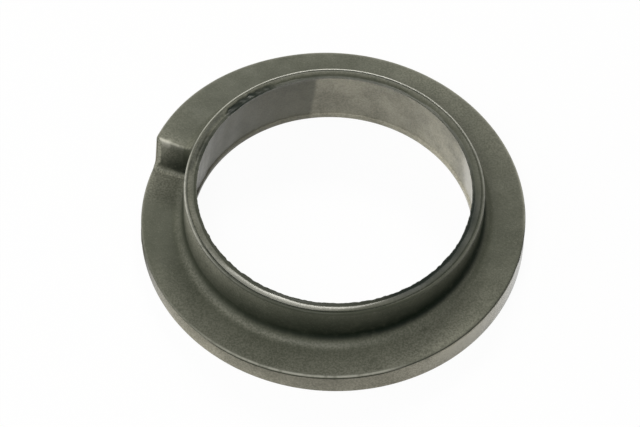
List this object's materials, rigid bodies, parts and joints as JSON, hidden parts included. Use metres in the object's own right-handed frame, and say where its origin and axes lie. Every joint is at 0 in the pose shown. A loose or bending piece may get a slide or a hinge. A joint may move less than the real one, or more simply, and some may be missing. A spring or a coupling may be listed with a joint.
{
  "type": "coil spring insulator",
  "caption": "Moulded rubber ring with a helical seat that climbs one turn to a step, and a collar that centres a coil spring.",
  "frame": {"origin": "centre of the bore at the level of the flat underside", "axes": "+Z along the bore axis towards the collar; the seat climbs counter-clockwise seen from +Z, and its step stands at 161 degrees from +X"},
  "size_m": [0.15, 0.15, 0.0294],
  "materials": {
    "moulded_rubber": "matt moulded rubber, dusty grey-black with a faint green tone, paler and slightly polished on its edges"
  },
  "bodies": {
    "root": {"spring_insulator": "moulded_rubber"}
  },
  "joints": []
}
